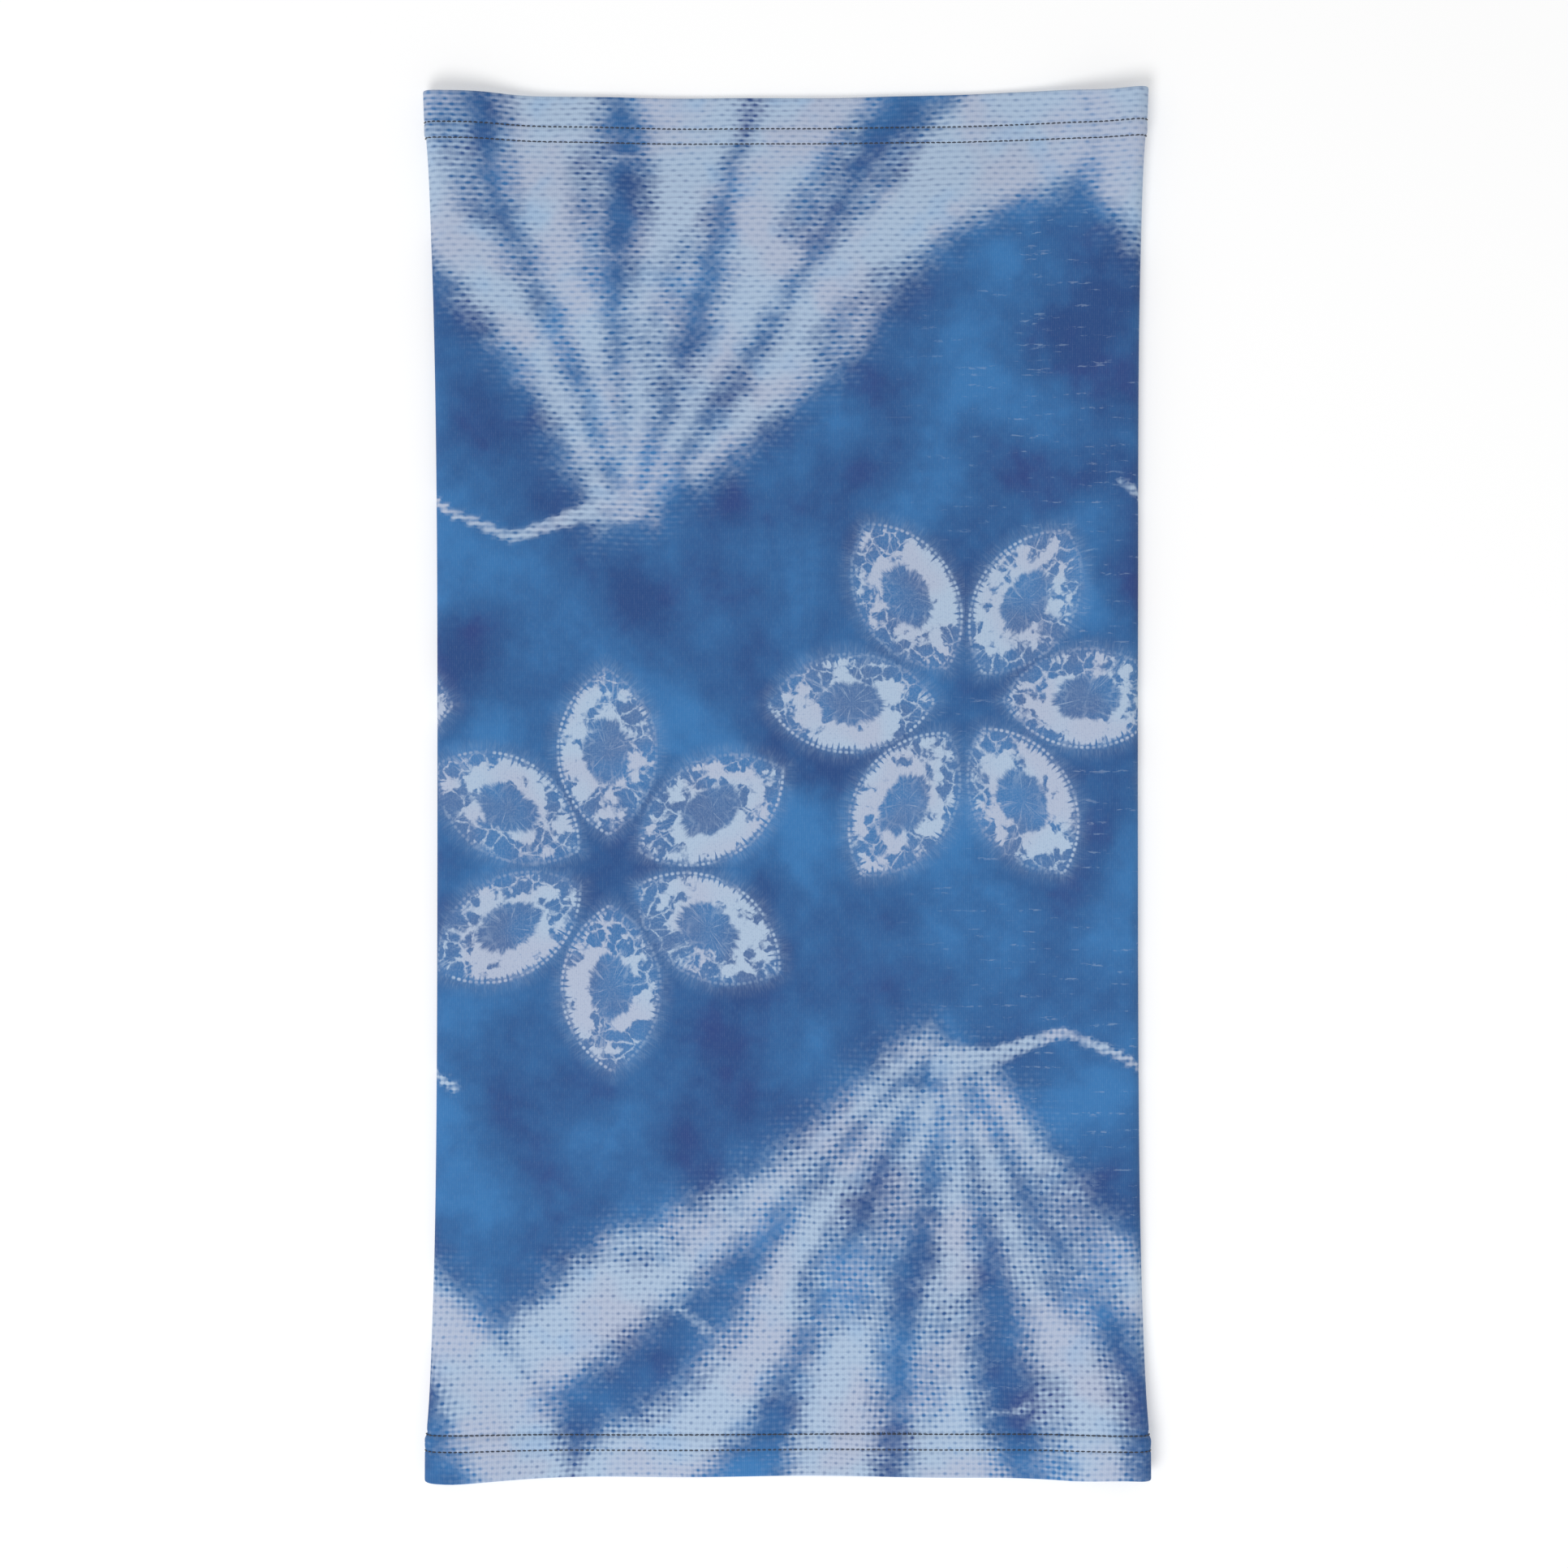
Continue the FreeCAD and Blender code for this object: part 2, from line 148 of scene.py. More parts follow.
def row_wave(side, across):
    """How far the pair of sewn rows wanders from its line: both needles share one bar.

    At the bottom the rows also run nearer to the folded edge between the corners.
    """
    turn = across / 47.0 + 0.9 * side
    wander = 0.2 * np.sin(turn) + 0.12 * np.sin(2.7 * turn + 1.0)
    if side == TOP:
        return wander
    swing = np.pi * across / MOUTH_HALF
    return wander - 0.7 * np.cos(swing / 2) - 0.7 * np.sin(swing) ** 2


def section(across):
    """Where a panel point sits on the flattened tube: flat share, fold angle and side."""
    u = np.abs(across)
    side = np.where(across < 0, -1.0, 1.0)
    psi = np.pi - np.clip((u - FLAT_HALF) / NOMINAL_RADIUS, 0, np.pi)
    behind = np.clip(u - FLAT_HALF - FOLD_LENGTH, 0, None)
    share = np.where(u < FLAT_HALF, u / FLAT_HALF, 1 - behind / FLAT_HALF)
    return share, psi, side


def front_sunk(x_share, x, y, radius):
    """How far the front lies below the top of the side folds, with its soft waves."""
    inward = (1 - x_share) * FLAT_HALF
    hem_hold = smooth(205, 240, np.abs(y))
    full = 2 * radius - FRONT_HEIGHT + HEM_LOWER * hem_hold
    sunk = full * (1 - np.exp(-(inward / SINK_REACH) ** 2))
    wave = 0.35 * np.sin(x / 31.0 + y / 57.0) * np.sin(y / 43.0 - x / 90.0 + 0.6)
    wave = wave + 0.22 * np.sin(x / 14.0 - y / 33.0 + 2.0) * smooth(0, 30, inward)
    return sunk - wave * smooth(2, 25, inward)


def place(across, y, depth):
    """The 3-D point at a place across the panel, at Y, and depth below the outside surface."""
    share, psi, side = section(across)
    radius = fold_radius(y)
    reach = half_width(y) - radius
    nx = side * np.sin(psi)
    nz = -np.cos(psi)
    x = side * share * reach + radius * nx
    z = radius + radius * nz
    front = (1 + nz) / 2
    z = z - front * front_sunk(share, x, y, radius)
    lift = smooth(70, 128, np.abs(x)) * smooth(195, 249, np.abs(y))
    # the bottom right corner curls most
    curled = smooth(70, 128, x) * smooth(-170, -249, y)
    z = z + CORNER_LIFT * lift + CORNER_LIFT * curled
    valley = SEAM_VALLEY * np.exp(-((SEAM_AT - np.abs(across)) / 0.8) ** 2)
    x = x - depth * nx - SKEW * smooth(60, 249, y)
    z = z - (depth + valley) * nz + THREAD_PROUD
    return np.stack([x, y, z], axis=-1) * MM


def outward(across):
    """Unit vector out of the cloth's printed face."""
    _, psi, side = section(across)
    return np.stack([side * np.sin(psi), np.zeros_like(psi), -np.cos(psi)], axis=-1)


def surface_depth(side, edge, across):
    """How deep the outside surface lies: stitch rows bite in, and the body is one layer, not two."""
    wave = row_wave(side, across)
    line = INNER_ROW + wave
    bite = ROW_BITE * np.exp(-((edge - EDGE_ROW - wave) / ROW_BITE_WIDTH) ** 2)
    bite = bite + INNER_BITE[side] * np.exp(-((edge - INNER_ROW - wave) / INNER_BITE_WIDTH[side]) ** 2)
    step = HEM_STEP * smooth(-0.4, 1.0, edge - line) * (1 - smooth(4, 40, edge - line))
    roping = ROPING * np.sin(2 * np.pi * (across + 0.55 * edge) / ROPING_PITCH)
    between = smooth(0.6, 1.6, edge - EDGE_ROW) * (1 - smooth(-1.6, -0.6, edge - INNER_ROW))
    return bite + step + roping * between


# ---------------------------------------------------------------- print: a generic tie-dye repeat
REPEAT = SEAM_AT                            # the print comes twice round the tube
# Two fans of pale fingers, each opening from a tie: one upward, one downward and wider.
# tie x and y, up or down, lean and spread in degrees, fingers, share of each finger's room left pale
FANS = [(-58.0, 86.0, 1, 8.0, 84.0, 5, 0.80), (58.0, -86.0, -1, 8.0, 100.0, 6, 0.65)]
FINGER_STEPS = 6
FINGER_STEP = 34.0


def stroke(points, x, y):
    """Signed distance, positive inside, of a chain of tapered round-ended strokes (x, y, radius)."""
    middle = (points[0][0] + points[-1][0]) / 2
    x = middle + (x - middle + REPEAT / 2) % REPEAT - REPEAT / 2
    best = np.full(x.shape, -1e3)
    for (x0, y0, r0), (x1, y1, r1) in zip(points, points[1:]):
        dx = x1 - x0
        dy = y1 - y0
        t = np.clip(((x - x0) * dx + (y - y0) * dy) / (dx * dx + dy * dy), 0, 1)
        gap = np.hypot(x - x0 - t * dx, y - y0 - t * dy)
        best = np.maximum(best, r0 + t * (r1 - r0) - gap)
    return best


def fan_point(fan, distance, turn, radius):
    """A stroke's point at a distance from a fan's tie, turned from straight up or down in degrees."""
    tie_x, tie_y, up, lean = fan[:4]
    angle = math.radians(lean + turn)
    return tie_x + up * distance * math.sin(angle), tie_y + up * distance * math.cos(angle), radius


def fan_strokes(fan):
    """The pale fingers of a fan, its half soaked places and its thin held lines, each with its level."""
    spread, fingers, fullness = fan[4:]
    room = spread / fingers
    pale = []
    soaked = []
    held = []
    for number in range(fingers):
        turn = spread * ((number + 0.5) / fingers - 0.5)
        start = 24.0 + 12.0 * math.sin(2.3 * number + fingers)
        chain = []
        for step in range(FINGER_STEPS):
            distance = start + step * FINGER_STEP
            swell = 1 + 0.16 * math.sin(1.9 * step + 2.6 * number)
            width = math.radians(room) * distance * fullness / 2 * swell
            sway = 2.2 * math.sin(1.3 * step + 1.7 * number)
            chain.append(fan_point(fan, distance, turn + sway, max(width, 5.0)))
        pale.append(chain)
        # a half soaked place beside the finger
        middle = 70.0 + 32.0 * ((2 * number + fingers) % 3)
        aside = turn + 0.3 * room
        patch = [fan_point(fan, middle, aside, 11.0), fan_point(fan, middle + 30.0, aside + 2.0, 15.0)]
        soaked.append((patch, 0.06 + 0.14 * (number % 3)))
        # a thin held line over to the next finger
        if number + 1 < fingers:
            across = 62.0 + 38.0 * ((number + 1) % 3)
            line = [fan_point(fan, across + 3.0 * bow, turn + room * bow, 1.1) for bow in (0.0, 0.5, 1.0)]
            held.append((line, 0.15))
    # the line that runs round from the tie: turn, distance, radius
    rim = [(0, 14.0, 6.0), (-60, 18.0, 3.0), (-95, 40.0, 1.8), (-88, 62.0, 1.5), (-82, 82.0, 1.4)]
    held.append(([fan_point(fan, distance, turn, radius) for turn, distance, radius in rim], 0.55))
    return pale, soaked, held


def resist_field(x, y):
    """Paleness of the resist print: above 0 is pale, below 0 is dyed, in softened steps."""
    fans = [fan_strokes(fan) for fan in FANS]
    distance = np.full(x.shape, -1e3)
    for pale, _, _ in fans:
        for finger in pale:
            distance = np.maximum(distance, stroke(finger, x, y))
    field = np.where(distance > 0, np.minimum(distance / 9.0, 1.0), distance / 14.0)
    for _, soaked, _ in fans:
        for points, level in soaked:
            cover = smooth(-7, 5, stroke(points, x, y))
            field = field + cover * (np.minimum(field, level) - field)
    for _, _, held in fans:
        for points, level in held:
            field = np.maximum(field, np.minimum(stroke(points, x, y) / 0.9 + 0.2, level))
    return np.clip(field, -1.2, 1.0)


def turned(dx, dy, angle):
    """Coordinates along and across a direction."""
    return dx * np.cos(angle) + dy * np.sin(angle), dy * np.cos(angle) - dx * np.sin(angle)


PETALS = 6
PETAL_REACH = 42.0                           # flower's middle to petal's middle
PETAL_HALF_LENGTH = 30.0
PETAL_HALF_WIDTH = 18.0
FLOWER_DROP = 30.0                           # the flowers sit this far above and below the middle in turn
# middle of each stitched flower and the direction of its first petal
FLOWERS = [((column + 0.5) * REPEAT / 2, FLOWER_DROP * (1 - 2 * (column % 2)), 30.0 * (column % 2))
           for column in (-1, 0, 1, -2)]


def petal_frames():
    """Middle, direction and hand of every petal: near a regular six, neighbours mirrored."""
    petals = []
    for flower, (cx, cy, first) in enumerate(FLOWERS):
        for number in range(PETALS):
            lean = 1.2 * math.sin(2.1 * number + 1.7 * flower)
            angle = math.radians(first + number * 360 / PETALS + lean)
            reach = PETAL_REACH + 1.0 * math.sin(3.3 * number + flower)
            hand = 1 - 2 * (number % 2)
            petals.append((cx + reach * math.cos(angle), cy + reach * math.sin(angle), angle, hand))
    return petals


# ---------------------------------------------------------------- meshes
def new_piece(name, vertices, faces, material):
    """A mesh object riding on the one body."""
    mesh = bpy.data.meshes.new(name)
    mesh.from_pydata(vertices.tolist(), [], faces)
    mesh.validate()
    mesh.shade_smooth()
    mesh.materials.append(material)
    piece = bpy.data.objects.new(name, mesh)
    bpy.context.scene.collection.objects.link(piece)
    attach(piece, "root")
    return piece


def add_values(mesh, name, values, domain="POINT"):
    """A float attribute."""
    layer = mesh.attributes.new(name, "FLOAT", domain)
    layer.data.foreach_set("value", np.asarray(values, np.float32))


def add_map(mesh, name, u, v):
    """A UV map from two lengths in millimetres for each face corner."""
    layer = mesh.uv_layers.new(name=name)
    layer.data.foreach_set("uv", (np.stack([u, v], -1) * MM).astype(np.float32).ravel())


def across_stations():
    """Places across the panel, from the seam round the front and back to the seam."""
    seam_side = [0.0, 0.35, 0.8, 1.4, 2.4, 4.0]
    front_step = 2.75
    back_step = 4.2
    back = np.linspace(FLAT_HALF + FOLD_LENGTH, SEAM_AT - 6.0, int((FLAT_HALF - 6) / back_step) + 1)
    fold = np.linspace(FLAT_HALF, FLAT_HALF + FOLD_LENGTH, 13)[1:-1]
    front = np.linspace(0, FLAT_HALF, int(FLAT_HALF / front_step) + 1)
    right = np.concatenate([front, fold, back, [SEAM_AT - gap for gap in reversed(seam_side)]])
    return np.concatenate([-right[:0:-1], right])


def hem_path():
    """Mid-line of a hem from the raw edge inside, round the fold, to past the stitching.

    Each point is (edge, depth, turn): turn is pi on the inner layer, 0 on the outside.
    """
    mid_radius = (CLOTH + TURN_GAP) / 2
    fold_middle = mid_radius + CLOTH / 2
    inner_depth = CLOTH / 2 + 2 * mid_radius
    inner = [(edge, inner_depth, math.pi) for edge in (RAW_EDGE, 18.4, 16.8, 14.5, 12.0, 9.5, 7.0, 4.5, 2.4)]
    fold = []
    for turn in np.linspace(math.pi, 0, 9):
        depth = CLOTH / 2 + mid_radius - mid_radius * math.cos(turn)
        fold.append((fold_middle - mid_radius * math.sin(turn), depth, float(turn)))
    rows = [2.0, 3.6, 5.4, 7.2, 9.0, 10.4]
    rows += [EDGE_ROW + gap for gap in (-1.0, -0.5, 0.0, 0.5, 1.0)]
    rows += [14.0, 15.2, 16.2]
    rows += [INNER_ROW + gap for gap in (-1.0, -0.5, 0.0, 0.5, 1.0, 1.7)]
    rows += [20.6, 22.6, 25.0]
    outside = [(edge, CLOTH / 2, 0.0) for edge in rows]
    return inner + fold + outside


def cloth_rows():
    """Every row of the panel from the bottom raw edge to the top one: (side, edge, depth, turn)."""
    bottom = [(BOTTOM, *point) for point in hem_path()]
    top = [(TOP, *point) for point in hem_path()]
    first = bottom[-1][1]
    step = 2.25
    edges = np.linspace(first, CORNER, int((CORNER - first) / step) + 1)[1:]
    low_body = [(BOTTOM, float(edge), CLOTH / 2, 0.0) for edge in edges]
    high_body = [(TOP, float(edge), CLOTH / 2, 0.0) for edge in edges[:-1]]
    return bottom + low_body + high_body[::-1] + top[::-1]


def build_cloth(material):
    """The knit panel: printed face, plain face and the cut edges between them, as one closed mesh.

    The mesh's faces point inward.
    """
    across = across_stations()
    rows = cloth_rows()
    columns = len(across)
    printed = []
    plain = []
    print_y = []
    for side, edge, depth, turn in rows:
        out_edge = -math.sin(turn)
        out_depth = -math.cos(turn)
        relief = surface_depth(side, edge, across) * (0.5 + 0.5 * math.cos(turn))
        for sheet, sign in ((printed, 1), (plain, -1)):
            e = edge + sign * CLOTH / 2 * out_edge
            d = depth + sign * CLOTH / 2 * out_depth + relief
            sheet.append(place(across, along(side, e, across), d))
        # the print runs on round the fold, over the turned-in layer
        beyond = -edge if turn < math.pi / 2 else edge
        print_y.append(side * (CORNER + beyond))
    count = columns * len(rows)
    vertices = np.concatenate([np.array(printed).reshape(-1, 3), np.array(plain).reshape(-1, 3)])
    faces = []
    for r in range(len(rows) - 1):
        for c in range(columns - 1):
            a = r * columns + c
            faces.append((a, a + columns, a + columns + 1, a + 1))
    printed_faces = len(faces)
    faces += [tuple(v + count for v in reversed(quad)) for quad in faces]
    # the raw edges in the hems, then the edges that meet at the seam
    last = (len(rows) - 1) * columns
    for c in range(columns - 1):
        faces.append((c + 1, c + 1 + count, c + count, c))
        faces.append((last + c, last + c + count, last + c + 1 + count, last + c + 1))
    for left in range(0, last, columns):
        next_left = left + columns
        right = next_left - 1
        next_right = right + columns
        faces.append((left, left + count, next_left + count, next_left))
        faces.append((next_right, next_right + count, right + count, right))
    cloth = new_piece("printed_knit_tube", vertices, faces, material)
    mesh = cloth.data
    x = np.tile(across, 2 * len(rows))
    y = np.tile(np.repeat(print_y, columns), 2)
    add_values(mesh, "resist", resist_field(x, y))
    is_print = np.zeros(len(mesh.polygons))
    is_print[:printed_faces] = 1
    add_values(mesh, "printed", is_print, "FACE")
    corners = np.empty(len(mesh.loops), np.int32)
    mesh.loops.foreach_get("vertex_index", corners)
    add_map(mesh, "panel", x[corners], y[corners])
    add_petal_map(mesh, x, y, corners)
    return cloth


def add_petal_map(mesh, x, y, corners):
    """A second map that holds, face by face, the place inside the nearest petal."""
    starts = np.empty(len(mesh.polygons), np.int32)
    totals = np.empty(len(mesh.polygons), np.int32)
    mesh.polygons.foreach_get("loop_start", starts)
    mesh.polygons.foreach_get("loop_total", totals)
    face_of = np.repeat(np.arange(len(starts)), totals)
    face_x = np.bincount(face_of, x[corners]) / totals
    face_y = np.bincount(face_of, y[corners]) / totals
    best = np.full(len(starts), 1e9)
    chosen = np.zeros(len(starts), int)
    petals = petal_frames()
    for number, (cx, cy, angle, _) in enumerate(petals):
        u, v = turned(face_x - cx, face_y - cy, angle)
        outside = np.hypot(u, v * PETAL_HALF_LENGTH / PETAL_HALF_WIDTH)
        closer = outside < best
        best = np.where(closer, outside, best)
        chosen = np.where(closer, number, chosen)
    middle = np.array(petals)[chosen][face_of]
    u, v = turned(x[corners] - middle[:, 0], y[corners] - middle[:, 1], middle[:, 2])
    add_map(mesh, "petal", u, v * middle[:, 3])
    add_values(mesh, "petal_seed", chosen.astype(float), "FACE")


def ring_faces(rings, sides, flipped=False):
    """Faces round a row of vertex rings, with both ends closed. flipped turns them all over."""
    faces = []
    for first in range(0, (rings - 1) * sides, sides):
        for k in range(sides):
            a = first + k
            b = first + (k + 1) % sides
            if flipped:
                a, b = b, a
            faces.append((a, b, b + sides, a + sides))
    order = 1 if flipped else -1
    faces.append(tuple(range(sides))[::order])
    faces.append(tuple(range((rings - 1) * sides, rings * sides))[::-order])
    return faces


def tube(points, ups, radii, sides=6):
    """A round thread through points, with closed ends. Its faces point inward."""
    tangents = np.gradient(points, axis=0)
    tangents /= np.linalg.norm(tangents, axis=1)[:, None]
    across = np.cross(tangents, ups)
    across /= np.linalg.norm(across, axis=1)[:, None]
    up = np.cross(across, tangents)
    angles = np.arange(sides) * 2 * np.pi / sides
    ring = across[:, None] * np.cos(angles)[None, :, None] + up[:, None] * np.sin(angles)[None, :, None]
    vertices = points[:, None] + ring * np.asarray(radii)[:, None, None]
    return vertices.reshape(-1, 3), ring_faces(len(points), sides)


def join_tubes(name, tubes, material):
    """One piece from many tubes, standing for the CAD thread of the same name."""
    vertices = []
    faces = []
    base = 0
    for points, quads in tubes:
        vertices.append(points)
        faces += [tuple(v + base for v in quad) for quad in quads]
        base += len(points)
    piece = new_piece(name, np.concatenate(vertices), faces, material)
    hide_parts(name)


STITCHES = int(2 * SEAM_AT / 1.8)            # round a hem, about 1.8 apart
STITCH_PITCH = 2 * SEAM_AT / STITCHES
STITCH_LENGTH = 1.42
INNER_LONGER = 0.12                          # stitches nearer the body are this much longer
STITCH_ARCH = 0.34                           # rise of a stitch's middle over its ends
STITCH_SUNK = 0.1                            # depth of its ends in the knit
THREAD_RADIUS = 0.24
LOOPER_RADIUS = 0.17
LOOPER_OFF = 0.12                            # from the turned-in layer's face to the looper's middle
# one looper stitch: share of the pitch gone by, share of the way to the row nearer the body
LOOPER_BEAT = np.array([(0.0, 0.0), (0.16, 0.5), (0.5, 1.0), (0.62, 1.04), (0.74, 0.97), (0.9, 0.5)])
SEAM_PITCH = 2.2                             # spacing of the overlock stitches
SEAM_STITCH = 1.7
SEAM_BEYOND = 8.0                            # the allowance runs on this far past the CAD threads


def needle_row(name, side, row, material):
    """Separate straight stitches all round a hem, each dipping into the knit at its ends."""
    random = np.random.default_rng(int(100 + 10 * side + row))
    longer = INNER_LONGER if row == INNER_ROW else 0.0
    steps = np.linspace(-0.5, 0.5, 6)
    arch = np.cos(steps * np.pi)
    thickness = THREAD_RADIUS * (0.55 + 0.45 * arch) * MM
    tubes = []
    for number in range(STITCHES):
        middle = -SEAM_AT + (number + 0.5) * STITCH_PITCH + random.uniform(-0.08, 0.08)
        length = STITCH_LENGTH + random.uniform(-0.12, 0.12) + longer
        tilt = random.uniform(-0.09, 0.09)
        across = np.clip(middle + steps * length, -SEAM_AT, SEAM_AT)
        edge = row + row_wave(side, across) + tilt * steps * 2
        rise = STITCH_ARCH * arch - STITCH_SUNK
        depth = surface_depth(side, edge, across) - rise
        points = place(across, along(side, edge, across), depth)
        tubes.append(tube(points, outward(across), thickness))
    join_tubes(name, tubes, material)


def looper_row(name, side, material):
    """The looper thread: zigzags between the two rows over the turned-in layer, inside the tube."""
    starts = np.arange(STITCHES)[:, None]
    across = (-SEAM_AT + (starts + LOOPER_BEAT[:, 0]) * STITCH_PITCH).ravel()
    share = np.tile(LOOPER_BEAT[:, 1], STITCHES)
    near = EDGE_ROW + row_wave(side, across)
    far = INNER_ROW + row_wave(side, across)
    edge = near + share * (far - near)
    depth = np.full(across.shape, 2 * CLOTH + TURN_GAP + LOOPER_OFF)
    points = place(across, along(side, edge, across), depth)
    radii = np.full(len(points), LOOPER_RADIUS * MM)
    join_tubes(name, [tube(points, outward(across), radii, 5)], material)


def build_seam(knit, thread):
    """The seam allowance pressed to one side inside the back, and its four overlock threads."""
    floor = CLOTH
    height = 1.45
    end = SEAM_END + SEAM_BEYOND
    stations = np.linspace(-end, end, 120)
    outline = [(0.2, 0.0), (ALLOWANCE - 0.4, 0.0), (ALLOWANCE, 0.35), (ALLOWANCE - 0.15, 0.72),
               (ALLOWANCE, 1.1), (ALLOWANCE - 0.4, height), (1.0, height), (0.3, height * 0.8)]
    vertices = []
    for y in stations:
        ease = 0.25 * math.sin(y / 11.0)
        for x, z in outline:
            vertices.append((x + ease * x / ALLOWANCE, y, floor + z))
    faces = ring_faces(len(stations), len(outline), flipped=True)
    allowance = new_piece("seam_allowance", np.array(vertices) * MM, faces, knit)
    roof = floor + height
    up = np.array([0.0, 0.0, 1.0])
    count = int((2 * end - 4) / SEAM_PITCH)
    starts = -end + 2 + np.arange(count) * SEAM_PITCH
    steps = np.linspace(-0.5, 0.5, 5)
    arch = np.cos(steps * np.pi)
    level = roof - 0.05 + 0.22 * arch
    radii = 0.16 * MM * (0.6 + 0.4 * arch)
    for name, x in (("seam_needle_thread_1", 0.9), ("seam_needle_thread_2", 2.9)):
        tubes = []
        for start in starts:
            points = np.stack([np.full(5, x), start + steps * SEAM_STITCH, level], -1)
            tubes.append(tube(points * MM, np.tile(up, (5, 1)), radii))
        join_tubes(name, tubes, thread)
    for name, near, level, shift in (("seam_upper_looper_thread", 2.9, roof + 0.05, 0.0),
                                     ("seam_lower_looper_thread", ALLOWANCE, floor + 0.6, 0.5)):
        beat = [(near, shift, level), (ALLOWANCE + 0.1, shift + 0.35, level),
                (ALLOWANCE + 0.3, shift + 0.5, level - 0.4), (ALLOWANCE + 0.1, shift + 0.65, level)]
        route = [(x, start + ahead * SEAM_PITCH, z) for start in starts for x, ahead, z in beat]
        points = np.array(route) * MM
        radii = np.full(len(points), 0.15 * MM)
        join_tubes(name, [tube(points, np.tile(up, (len(points), 1)), radii, 5)], thread)
    return allowance


# ---------------------------------------------------------------- materials
def linear(red, green, blue):
    """Display colour, 0 to 255, as the shader's linear colour."""
    values = []
    for part in (red, green, blue):
        part = part / 255
        values.append(part / 12.92 if part <= 0.04045 else ((part + 0.055) / 1.055) ** 2.4)
    return (*values, 1.0)


class Graph:
    """Short calls that add shader nodes and return their output."""

    def __init__(self, name):
        self.material = bpy.data.materials.new(name)
        self.material.use_nodes = True
        self.nodes = self.material.node_tree.nodes
        self.links = self.material.node_tree.links
        self.shader = self.nodes["Principled BSDF"]

    def feed(self, socket, value):
        """Links an output, or sets a plain value."""
        if isinstance(value, bpy.types.NodeSocket):
            self.links.new(value, socket)
        else:
            socket.default_value = value

    def math(self, operation, *values):
        node = self.nodes.new("ShaderNodeMath")
        node.operation = operation
        for socket, value in zip(node.inputs, values):
            self.feed(socket, value)
        return node.outputs[0]

    def add(self, a, b):
        return self.math("ADD", a, b)

    def sub(self, a, b):
        return self.math("SUBTRACT", a, b)

    def mul(self, a, b):
        return self.math("MULTIPLY", a, b)

    def ramp(self, value, low, high):
        """Smooth rise from 0 at low to 1 at high."""
        node = self.nodes.new("ShaderNodeMapRange")
        node.interpolation_type = "SMOOTHSTEP"
        self.feed(node.inputs["Value"], value)
        self.feed(node.inputs["From Min"], low)
        self.feed(node.inputs["From Max"], high)
        return node.outputs["Result"]

    def length(self, a, b):
        """The root of a squared plus b squared."""
        return self.math("SQRT", self.add(self.math("POWER", a, 2.0), self.math("POWER", b, 2.0)))

    def mix(self, share, a, b):
        """Colour a, turning to b with share. The colour sockets share their names, so go by number."""
        node = self.nodes.new("ShaderNodeMix")
        node.data_type = "RGBA"
        self.feed(node.inputs[0], share)
        self.feed(node.inputs[6], a)
        self.feed(node.inputs[7], b)
        return node.outputs[2]

    def value(self, name):
        node = self.nodes.new("ShaderNodeAttribute")
        node.attribute_name = name
        return node.outputs["Fac"]

    def in_mm(self, place):
        """A place in metres, in millimetres."""
        node = self.nodes.new("ShaderNodeVectorMath")
        node.operation = "SCALE"
        self.feed(node.inputs[0], place)
        node.inputs["Scale"].default_value = 1 / MM
        return node.outputs[0]

    def split(self, vector):
        node = self.nodes.new("ShaderNodeSeparateXYZ")
        self.feed(node.inputs[0], vector)
        return node.outputs[0], node.outputs[1]

    def map_mm(self, name):
        """A map's coordinates in millimetres: the vector, x and y."""
        node = self.nodes.new("ShaderNodeUVMap")
        node.uv_map = name
        place = self.in_mm(node.outputs[0])
        return place, *self.split(place)

    def object_place(self):
        return self.nodes.new("ShaderNodeTexCoord").outputs["Object"]

    def vector(self, x, y, z=0.0):
        node = self.nodes.new("ShaderNodeCombineXYZ")
        for socket, value in zip(node.inputs, (x, y, z)):
            self.feed(socket, value)
        return node.outputs[0]

    def noise(self, vector, size, detail=2.0, rough=0.5):
        """Noise with features about size across, in the vector's unit, 0 to 1."""
        node = self.nodes.new("ShaderNodeTexNoise")
        self.feed(node.inputs["Vector"], vector)
        node.inputs["Scale"].default_value = 1 / size
        node.inputs["Detail"].default_value = detail
        node.inputs["Roughness"].default_value = rough
        return node.outputs["Fac"]

    def stir(self, vector, size, detail, rough, reach):
        """Noise about 0, times reach."""
        return self.mul(self.sub(self.noise(vector, size, detail, rough), 0.5), reach)

    def cell_edges(self, vector, size):
        """Distance to the nearest border between cells about size mm wide."""
        node = self.nodes.new("ShaderNodeTexVoronoi")
        node.feature = "DISTANCE_TO_EDGE"
        self.feed(node.inputs["Vector"], vector)
        node.inputs["Scale"].default_value = 1 / size
        return node.outputs["Distance"]

    def cosine(self, value, period):
        return self.math("COSINE", self.mul(value, 2 * math.pi / period))

    def bump(self, height, distance, strength):
        node = self.nodes.new("ShaderNodeBump")
        node.inputs["Strength"].default_value = strength
        node.inputs["Distance"].default_value = distance
        self.feed(node.inputs["Height"], height)
        return node.outputs[0]


WEAVE = 2.05                                 # thread spacing of the coarse linen look in the print
RIB = 0.75                                   # spacing of the knit's ribs
COURSE = 0.55                                # spacing of its courses
DARK_BLUE = linear(47, 80, 136)
PURPLE_BLUE = linear(52, 75, 134)
MID_BLUE = linear(55, 103, 159)
LIGHT_BLUE = linear(64, 124, 184)
PALE = linear(180, 201, 225)
PALE_LILAC = linear(185, 196, 218)
PALE_PETAL = linear(182, 202, 225)
PALE_SKY = linear(156, 190, 226)
GREY_BLUE = linear(84, 116, 166)
STITCH_STEP = 2.1                            # spacing of the sewn dots round a petal


